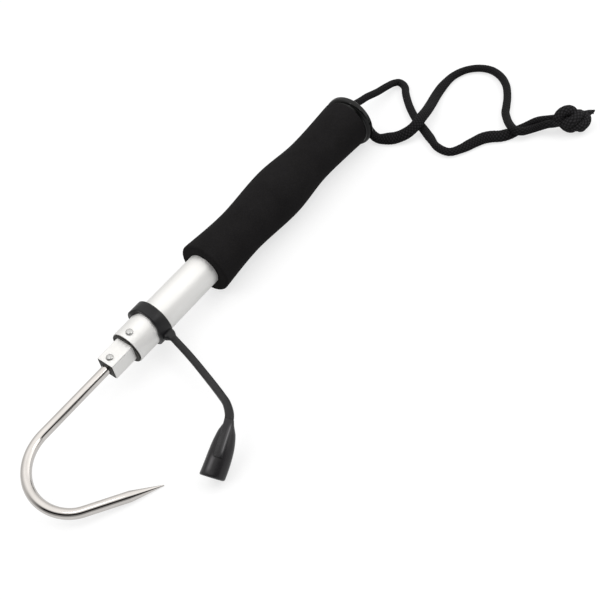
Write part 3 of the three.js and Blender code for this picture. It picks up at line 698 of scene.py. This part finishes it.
def front_bushing():
    """A lipped sleeve whose recessed face has a square hole."""
    sleeve, lip, recess = 9.5, 10.5, 9.1
    hole_side, hole_corner = 12.8, 1.2
    corner_parts, side_parts = 2, 8  # into which a stretch between two points is split
    outline = [(0.4, recess - 0.3), (0.3, recess), (0.15, recess + 0.1), (0.07, recess + 0.2),
               (0.0, recess + 0.45), (0.0, lip - 0.3), (0.09, lip - 0.09), (0.3, lip),
               (0.6, lip), (0.6, sleeve), (BUSHING_REAR, sleeve)]
    hole = square_ring(0, hole_side, hole_corner)
    angles = [math.atan2(z, y) for _, y, z in hole]
    square = [[(x, y * grow, z * grow) for _, y, z in hole]
              for x, grow in ((0.7, 1), (0.4, 1.02), (BUSHING_REAR, 1))]
    circles = [[(x, r * math.cos(a), r * math.sin(a)) for a in angles] for x, r in outline]
    corner_points = len(hole) // 4

    def refined(ring, bulge):
        """The ring with more points, set out to its radius where it is round."""
        row = []
        for j, (a, b) in enumerate(zip(ring, ring[1:] + ring[:1])):
            a, b = Vector(a), Vector(b)
            parts = side_parts if j % corner_points == corner_points - 1 else corner_parts
            for k in range(parts):
                p = a.lerp(b, k / parts)
                if bulge:
                    scale = math.hypot(a.y, a.z) / math.hypot(p.y, p.z)
                    p = Vector((p.x, p.y * scale, p.z * scale))
                row.append(tuple(p))
        return row

    rings = [refined(ring, False) for ring in square[:2]]
    rings += [refined(ring, True) for ring in circles]
    rings.append(refined(square[2], False))
    place = ROLLED @ Matrix.Translation((-BUSHING_AHEAD, 0, 0))
    piece = mesh_object("mouth_bushing", *skin(rings, loop=True), place=place)
    return finish_piece(piece, DARK_PLASTIC, "dark_plastic", "handle", "front_bushing")


def hook_plug():
    """The block that holds the hook's shank, its face nearly flush with the tube's mouth."""
    side, corner, hole = 9.6, 0.5, 3.3
    face, hole_end, rear = -17.3, 6.1, 8.8
    outer = square_ring(0, side, corner)
    angles = [math.atan2(z, y) for _, y, z in outer]
    rings = [[(x, r * math.cos(a), r * math.sin(a)) for a in angles]
             for x, r in ((hole_end, hole), (face + 0.2, hole), (face, hole + 0.2))]
    rings += [[(x, y * grow, z * grow) for _, y, z in outer]
              for x, grow in ((face, 1.13), (face + 0.2, 1.15), (face + 1.7, 1.04), (face + 1.8, 1),
                              (rear, 1))]
    piece = mesh_object("shank_plug", *skin(rings, ends=(True, True)), place=ROLLED)
    return finish_piece(piece, DARK_PLASTIC, "dark_plastic", "inner_section", "hook_plug")


def rivet_head(name, seat, x, up, body, nodes, round_by=0):
    """A domed head on its shank; seat is its height from the shaft's axis."""
    shank, foot, head = 1.5, 2.0, 2.25
    depth, rim, dome, dome_steps = 4.0, 0.45, 0.85, 8
    turn = Matrix.Rotation(math.radians(-90 if up else 90), 4, "Y")
    aside = Matrix.Rotation(math.radians(round_by), 4, "X")
    place = ROLLED @ aside @ Matrix.Translation((x, 0, 0)) @ turn
    profile = [(seat - depth, 0.0), (seat - depth, shank), (seat, shank), (seat, foot),
               (seat + 0.06, head - 0.07), (seat + 0.25, head), (seat + rim, head - 0.05)]
    for i in range(1, dome_steps + 1):
        a = math.radians(90 * i / dome_steps)
        profile.append((seat + rim + dome * math.sin(a) ** 0.9, (head - 0.1) * math.cos(a)))
    piece = turned(name, profile, place=place, loop=False, sides=64)
    return finish_piece(piece, RIVET, "rivet_metal", body, *nodes)


outer_tube()
inner_tube()
front_bushing()
hook_plug()

MOUTH_SEAT, MOUTH_RIVET_X, MOUTH_RIVET_TURN = 11.05, 4.6, 4
SHANK_SEAT, SHANK_RIVET_X = 6.1, -12.8
rivet_head("mouth_rivet_top", MOUTH_SEAT, MOUTH_RIVET_X, True, "handle", ["bushing_rivet_top"],
           round_by=MOUTH_RIVET_TURN)
rivet_head("mouth_rivet_bottom", MOUTH_SEAT, MOUTH_RIVET_X, False, "handle", ["bushing_rivet_bottom"],
           round_by=MOUTH_RIVET_TURN)
rivet_head("shank_rivet_top", SHANK_SEAT, SHANK_RIVET_X, True, "inner_section", ["hook_rivet"])
rivet_head("shank_rivet_bottom", SHANK_SEAT, SHANK_RIVET_X, False, "inner_section", [])


# Hook

def hook():
    """A rod with a long shank, bent twice, that ends in a tapered point."""
    rod, tip, taper_steps = 3.0, 0.3, 36
    shank, point, taper = 73.8, 24.4, 18.0
    wide, wide_angle = 29.3, 2.067
    tight, tight_angle = 22, 0.447
    # each leg's length, the radius that it bends with or 0, and its steps
    legs = ((shank, 0, 60), (wide * wide_angle, wide, 120), (tight * tight_angle, tight, 20),
            (point, 0, 12), (taper, 0, taper_steps))
    place, heading = Vector((5.8, 0, 0)), math.pi
    path = [place.copy()]
    for length, radius, steps in legs:
        step = length / steps
        turn = step / radius if radius else 0
        chord = 2 * radius * math.sin(turn / 2) if radius else step
        for _ in range(steps):
            heading += turn / 2
            place += Vector((math.cos(heading), math.sin(heading), 0)) * chord
            heading += turn / 2
            path.append(place.copy())

    def radius_at(share):
        from_tip = (1 - share) * (len(path) - 1) / taper_steps
        return rod if from_tip >= 1 else tip + (rod - tip) * from_tip

    piece = mesh_object("steel_hook", *skin(rod_rings(path, radius_at, 48), ends=(True, True)), place=ROLLED)
    return finish_piece(piece, STEEL, "polished_steel", "inner_section", "hook")


hook()


# Grip

def grip():
    """A foam sleeve with a waist on each side of its belly."""
    front, length, edge = 70.5, 156.5, 1.4
    mouth, waist, belly, neck, heel, bore = 18.0, 16.0, 18.3, 16.0, 17.9, 11.1
    rear = front + length
    surface = uniform_spline([(front + edge, mouth), (front + 0.23 * length, waist),
                              (front + 0.49 * length, belly), (front + 0.72 * length, neck),
                              (rear - edge, heel)], 24)
    profile = [(front, bore)] + arc(front + edge, mouth - edge, edge, 180, 90, 8) + surface[1:-1]
    profile += arc(rear - edge, heel - edge, edge, 90, 0, 8) + [(rear, bore)]
    piece = turned("foam_grip", profile, sharp=50)
    finish_piece(piece, FOAM, "black_foam", "handle", "grip")
    return piece


grip()


# Butt cap

FLANGE_FRONT, FLANGE_REAR = 227.3, 233.3


def butt_cap():
    """The flange: a broad round on its front edge and a small one on its rear."""
    crest, front_edge, rear_edge = 18.9, 2.2, 1.2
    body = [(FLANGE_FRONT, 0.0), (FLANGE_FRONT, 16.8), (228.0, 17.1)]
    body += arc(230.4, crest - front_edge, front_edge, 165, 90, 10)
    body += arc(FLANGE_REAR - rear_edge, crest - rear_edge, rear_edge, 90, 0, 12)
    body += [(FLANGE_REAR, 12.0), (FLANGE_REAR, 0.0)]
    aside = Matrix.Translation((0, -0.5, -0.56))
    piece = turned("butt_flange", body, place=SHAFT @ aside, loop=False, sides=160)
    return finish_piece(piece, GLOSS_PLASTIC, "black_plastic", "handle", "butt_cap")


def butt_lug():
    """A rounded plate with an eye that runs along Y."""
    half, eye_radius, outer, root, centre = 2.5, 3.1, 5.5, 5.6, LUG_EYE_X
    inner, rim = [], []
    for a in turns(96):
        c, s = math.cos(a), math.sin(a)
        reach = outer if c >= 0 else min(outer / max(abs(s), 1e-6), root / abs(c))
        inner.append((centre + eye_radius * c, eye_radius * s))
        rim.append((centre + reach * c, reach * s))
    rings = []
    for y, grow in ((-half, 0.35), (-half + 0.1, 0.1), (-half + 0.35, 0),
                    (half - 0.35, 0), (half - 0.1, 0.1), (half, 0.35)):
        rings.append([(x - grow * (x - centre) / outer, y, z - grow * z / outer) for x, z in rim])
    for y, grow in ((half, 0.3), (half - 0.1, 0.08), (half - 0.3, 0),
                    (-half + 0.3, 0), (-half + 0.1, 0.08), (-half, 0.3)):
        rings.append([(x + grow * (x - centre) / eye_radius, y, z + grow * z / eye_radius) for x, z in inner])
    piece = mesh_object("butt_lug", *skin(rings, loop=True), place=SHAFT)
    return finish_piece(piece, GLOSS_PLASTIC, "black_plastic", "handle")


butt_cap()
butt_lug()


# Point guard

STRAP_ANGLE = math.radians(200)
RING_FRONT, RING_WIDTH = 16.8, 8.6
RING_REAR = RING_FRONT + RING_WIDTH
RING_MIDDLE = RING_FRONT + RING_WIDTH / 2
RING_BORE, RING_OUTER = 11.05, 12.9
# Round the shaft in degrees: how far the ring's front edge lies ahead, and how much
# thicker its wall is
RING_LEANS = ((0, 0.6), (25, 1.2), (50, 1.2), (87, -1.2), (120, -1.1), (156, -0.3), (189, 1.3), (225, 0.9),
              (285, 0.3), (360, 0.6))
RING_WALLS = ((0, 0.3), (48, 1.1), (90, 1.0), (130, 0.5), (175, 0), (290, 0), (360, 0.3))
RING_BACK = 0.2  # how far its rear edge lies behind the solid's

CAP_LENGTH, CAP_MOUTH, CAP_BOW = 30.5, 6.7, 0.85
CAP_TILT = math.radians(24)
CAP_TIP = Vector((-12.0, -93.1, CAP_MOUTH * math.cos(CAP_TILT) + CAP_LENGTH * math.sin(CAP_TILT)))
CAP_TURN = (Matrix.Rotation(math.radians(191), 4, "Z") @ Matrix.Rotation(CAP_TILT, 4, "Y")
            @ Matrix.Rotation(math.radians(-25), 4, "X"))
CAP = Matrix.Translation(CAP_TIP) @ CAP_TURN
CAP_RADII = [(0.0, 2.3), (2.5, 2.95), (5.0, 4.0), (7.5, 4.9), (13.0, 5.95), (20.0, 6.5), (29.4, CAP_MOUTH)]

# The strap's way from its root to the cap's tip: shares along and aside of the straight
# way, and heights as shares of the tip's height
STRAP_WAY = ((0.11, 0.015, 0.69), (0.225, 0.027, 0.65), (0.35, 0.035, 0.655), (0.48, 0.04, 0.695),
             (0.625, 0.044, 0.77), (0.765, 0.045, 0.88), (0.88, 0.040, 1.0))
STRAP_STEPS = 160
STRAP_ROOT_REACH = 13.2  # from the shaft's axis, where the strap leaves the ring
STRAP_SIZE = (4.4, 2.5)  # width and height, and how much they grow at its root and its tip
STRAP_ROOT_GROWS, STRAP_TIP_GROWS = (3.8, 1.7), (0.5, 1.2)


def guard_ring():
    edge = 0.6
    profile = [(RING_FRONT + 0.1, RING_BORE)]
    profile += arc(RING_FRONT + edge, RING_OUTER - edge, edge, 180, 90, 6)
    profile += arc(RING_REAR - edge, RING_OUTER - edge, edge, 90, 0, 6) + [(RING_REAR - 0.1, RING_BORE)]
    rings = []
    for x, r in profile:
        ring = []
        for _, y, z in circle_ring(x, r, 144):
            turn = math.degrees(math.atan2(z, y)) % 360
            lean = between(RING_LEANS, turn) if x < RING_MIDDLE else -RING_BACK
            grow = 1 + between(RING_WALLS, turn) / r if r > RING_BORE else 1
            ring.append((x - lean, y * grow, z * grow))
        rings.append(ring)
    piece = mesh_object("guard_band", *skin(rings, loop=True), place=SHAFT)
    return finish_piece(piece, RUBBER, "black_rubber", "guard_band", "guard_ring")


def strap_route():
    """From inside the ring's wall, squarely out of it, and into the cap's tip."""
    def root(rise):
        reach = STRAP_ROOT_REACH + rise
        return Vector((RING_MIDDLE, reach * math.cos(STRAP_ANGLE), AXIS_Z + reach * math.sin(STRAP_ANGLE)))

    start = root(2.4)
    run = CAP_TIP - start
    route = [Vector((start.x + along * run.x - aside * run.y, start.y + along * run.y + aside * run.x,
                     height * CAP_TIP.z)) for along, aside, height in STRAP_WAY]
    way = (CAP_TURN @ Vector((1, 0, 0))).normalized()
    aside = (CAP_TURN @ Vector((0, 1, 0))).normalized()
    ends = [CAP_TIP - way * 1.4 - aside * 0.5, CAP_TIP + way * 2.6 - aside * 0.1, CAP_TIP + way * 6]
    return [root(-1.2), root(0), start] + route + ends


def rounded_outline(width, height, power=3.2, sides=32):
    """A box section with full corners."""
    out = []
    for a in turns(sides):
        c, s = math.cos(a), math.sin(a)
        out.append((width / 2 * math.copysign(abs(c) ** (2 / power), c),
                    height / 2 * math.copysign(abs(s) ** (2 / power), s)))
    return out


def guard_strap():
    """It widens into the ring and into the cap, and turns its flat side on the way."""
    twist = math.radians(-25)
    path = centripetal(strap_route(), STRAP_STEPS)
    rings = []
    for i, (p, way) in enumerate(zip(path, tangents(path))):
        share = i / STRAP_STEPS
        across = Vector((0, 0, 1)).cross(way).normalized()
        across = Quaternion(way, twist * share * share) @ across
        up = way.cross(across)
        root = between(((0, 1), (0.016, 0.95), (0.062, 0), (1, 0)), share)
        tip = between(((0, 0), (0.8, 0), (0.95, 1), (1, 1)), share)
        width, height = [size + root_grows * root + tip_grows * tip for size, root_grows, tip_grows
                         in zip(STRAP_SIZE, STRAP_ROOT_GROWS, STRAP_TIP_GROWS)]
        rings.append([tuple(p + across * x + up * y) for x, y in rounded_outline(width, height)])
    piece = mesh_object("guard_strap_moulding", *skin(rings, ends=(True, True)))
    return finish_piece(piece, RUBBER, "black_rubber", "guard_tail", "guard_strap")


def cap_surface():
    return uniform_spline(CAP_RADII, 12)


def cap_bow(x):
    """How far the cap bows aside at a distance from its tip."""
    return CAP_BOW * math.sin(math.pi * min(max(x / CAP_LENGTH, 0), 1)) ** 0.6


def guard_cap():
    """A hollow cone with a rounded rim, closed at its tip."""
    rim, bore, bore_end = 1.0, 5.5, 9.5
    profile = [(0.0, 0.0), (0.0, 1.2)] + cap_surface()
    profile += arc(CAP_LENGTH - rim, CAP_MOUTH - rim, rim, 80, 10, 7)
    profile += [(CAP_LENGTH, CAP_MOUTH - rim), (CAP_LENGTH - 0.2, bore)]
    profile += [(22.5, bore), (bore_end, 2.6), (bore_end, 0.0)]
    rings = [[(px, py + cap_bow(x), pz) for px, py, pz in circle_ring(x, max(r, 0.001), 96)]
             for x, r in profile]
    piece = mesh_object("guard_point_cap", *skin(rings), place=CAP)
    # Its material paints a soft sheen on the cap's body
    return finish_piece(piece, CAP_RUBBER, "black_rubber", "guard_tail", "guard_cap")


def guard_rib():
    """A raised rib along the cap, with a broad bevel on the side that faces the light."""
    rib_end, half, sunk = 20.6, 2.15, -0.9
    rings = []
    for x, r in cap_surface():
        if x > rib_end:
            break
        top = between(((0, 0.1), (6, 0.6), (rib_end, 0.85)), x)
        section = ((half + 0.5, sunk), (half + 0.15, top - 0.5), (half - 0.35, top - 0.12), (half - 0.9, top),
                   (0.4 - half, top), (0.12 - half, top - 0.08), (-half, top - 0.3), (-half, sunk))
        rings.append([(x, cap_bow(x) + y, r + z) for y, z in section])
    turned_rib = CAP @ Matrix.Rotation(math.radians(3), 4, "X")
    piece = mesh_object("guard_cap_rib", *skin(rings, ends=(True, True)), place=turned_rib)
    # Its material paints a highlight along the bevel that faces the light
    return finish_piece(piece, RIB_RUBBER, "black_rubber", "guard_tail")


guard_ring()
guard_strap()
guard_cap()
guard_rib()


# Hidden solids keep their shape and get their finish

def dress(node, material):
    for slot in bpy.data.objects[node].material_slots:
        slot.material = material


dress("rear_guide", GLOSS_PLASTIC)
dress("guide_pin", RIVET)
dress("friction_ring", RUBBER)


# Floor, light and background

FLOOR_HALF, FLOOR_DROP = 3, 0.0002
FLOOR_GREY = 0.36
FLOOR_GLOW = 0.68  # towards the camera, so that the floor shows white
FLOOR_MIRRORED = 0.40  # what shiny surfaces see of the floor


def floor():
    corners = [(x * FLOOR_HALF, y * FLOOR_HALF, -FLOOR_DROP) for x, y in ((-1, -1), (1, -1), (1, 1), (-1, 1))]
    mesh = bpy.data.meshes.new("floor")
    mesh.from_pydata(corners, [], [(0, 1, 2, 3)])
    plane = bpy.data.objects.new("floor", mesh)
    bpy.context.scene.collection.objects.link(plane)
    material = bpy.data.materials.new("floor")
    material.use_nodes = True
    tree = material.node_tree
    tree.nodes.clear()
    out = tree.nodes.new("ShaderNodeOutputMaterial")
    diffuse = tree.nodes.new("ShaderNodeBsdfDiffuse")
    diffuse.inputs["Color"].default_value = (FLOOR_GREY, FLOOR_GREY, FLOOR_GREY, 1)
    glow = tree.nodes.new("ShaderNodeEmission")
    glow.inputs["Color"].default_value = (1, 1, 1, 1)
    rays = tree.nodes.new("ShaderNodeLightPath")
    mirrored = tree.nodes.new("ShaderNodeMath")
    mirrored.operation = "MULTIPLY"
    mirrored.inputs[1].default_value = FLOOR_MIRRORED
    tree.links.new(rays.outputs["Is Glossy Ray"], mirrored.inputs[0])
    strength = tree.nodes.new("ShaderNodeMath")
    strength.operation = "MULTIPLY_ADD"
    strength.inputs[1].default_value = FLOOR_GLOW
    tree.links.new(rays.outputs["Is Camera Ray"], strength.inputs[0])
    tree.links.new(mirrored.outputs[0], strength.inputs[2])
    tree.links.new(strength.outputs[0], glow.inputs["Strength"])
    both = tree.nodes.new("ShaderNodeAddShader")
    tree.links.new(diffuse.outputs[0], both.inputs[0])
    tree.links.new(glow.outputs[0], both.inputs[1])
    tree.links.new(both.outputs[0], out.inputs["Surface"])
    plane.data.materials.append(material)


# The room that metal mirrors: its three ways, and its brightness by height for rays that
# leave towards the hook, squarely, towards the butt, and to the far side
ROOM_UP = (0.324, 0.095, 0.941)
ROOM_FAR = (0.3, 1.0, 0.0)
ROOM_BUTT = (1.0, 0.0, 0.0)
HOOK_BANDS = ((0.0, 0.35), (0.08, 0.15), (0.2, 0.02), (0.5, 0.0), (0.64, 0.4), (0.76, 1.1), (0.88, 1.28),
              (1.0, 1.24))
SQUARE_BANDS = ((0.0, 0.3), (0.1, 0.12), (0.25, 0.05), (0.42, 0.05), (0.52, 0.6), (0.64, 1.2),
                (0.88, 1.28), (1.0, 1.24))
BUTT_BANDS = ((0.0, 0.35), (0.08, 0.7), (0.2, 1.45), (0.35, 1.6), (0.8, 1.3), (1.0, 1.1))
FAR_BANDS = ((0.0, 0.6), (0.35, 0.62), (0.55, 0.7), (0.8, 0.95), (1.0, 1.24))
ROOM_GREY = (0.7, 0.7, 0.7, 1)  # what lights dull surfaces
WARMTH = (1, 0.99, 0.975)


def world():
    """A pale room: even for soft light, banded by height for what metal mirrors."""
    made = bpy.data.worlds.new("world")
    bpy.context.scene.world = made
    made.use_nodes = True
    tree = made.node_tree
    rays = tree.nodes.new("ShaderNodeLightPath")
    place = tree.nodes.new("ShaderNodeTexCoord")

    def reach(way):
        dot = tree.nodes.new("ShaderNodeVectorMath")
        dot.operation = "DOT_PRODUCT"
        dot.inputs[1].default_value = way
        tree.links.new(place.outputs["Generated"], dot.inputs[0])
        return dot.outputs["Value"]

    def share(way, start, end):
        span = tree.nodes.new("ShaderNodeMapRange")
        span.inputs["From Min"].default_value = start
        span.inputs["From Max"].default_value = end
        tree.links.new(reach(way), span.inputs["Value"])
        return span.outputs["Result"]

    def bands(levels):
        ramp = tree.nodes.new("ShaderNodeValToRGB")
        fill_ramp(ramp, [(step, [level * warm for warm in WARMTH]) for step, level in levels])
        tree.links.new(height, ramp.inputs["Fac"])
        return ramp.outputs["Color"]

    def mixed(factor, a, b):
        mix = tree.nodes.new("ShaderNodeMix")
        mix.data_type = "RGBA"
        tree.links.new(factor, mix.inputs["Factor"])
        for socket, value in (("A", a), ("B", b)):
            if isinstance(value, tuple):
                mix.inputs[socket].default_value = value
            else:
                tree.links.new(value, mix.inputs[socket])
        return mix.outputs["Result"]

    height = reach(ROOM_UP)
    near = mixed(share(ROOM_BUTT, -0.1, 0.35), bands(HOOK_BANDS), bands(SQUARE_BANDS))
    near = mixed(share(ROOM_BUTT, 0.26, 0.38), near, bands(BUTT_BANDS))
    room = mixed(share(ROOM_FAR, 0.0, 0.45), near, bands(FAR_BANDS))
    lit = mixed(rays.outputs["Is Glossy Ray"], ROOM_GREY, room)
    seen = mixed(rays.outputs["Is Camera Ray"], lit, (1, 1, 1, 1))
    tree.links.new(seen, tree.nodes["Background"].inputs["Color"])


def lamp(name, place, aim, size, power, mirrored=False):
    """A rectangular lamp; mirrored says whether shiny surfaces show it."""
    data = bpy.data.lights.new(name, "AREA")
    data.shape = "RECTANGLE"
    data.size, data.size_y = size
    data.energy = power
    lamp_object = bpy.data.objects.new(name, data)
    lamp_object.location = place
    lamp_object.rotation_mode = "QUATERNION"
    lamp_object.rotation_quaternion = (Vector(aim) - Vector(place)).to_track_quat("-Z", "Y")
    lamp_object.visible_glossy = mirrored
    bpy.context.scene.collection.objects.link(lamp_object)


floor()
world()
bpy.context.scene.view_settings.view_transform = "Standard"
MIDDLE = (0.0, 0.0, 0.0)
lamp("key", (0.36, -0.76, 0.8), MIDDLE, size=(0.3, 0.26), power=0.6, mirrored=True)
lamp("strip", (-0.25, 0.0, 1.1), (-0.08, -0.05, 0.0), size=(0.14, 0.24), power=0.36, mirrored=True)
lamp("side", (0.45, -0.6, 1.1), MIDDLE, size=(1.1, 0.9), power=4.2)
lamp("top", (-0.4, 0.5, 1.3), MIDDLE, size=(1.2, 1.2), power=4.5)
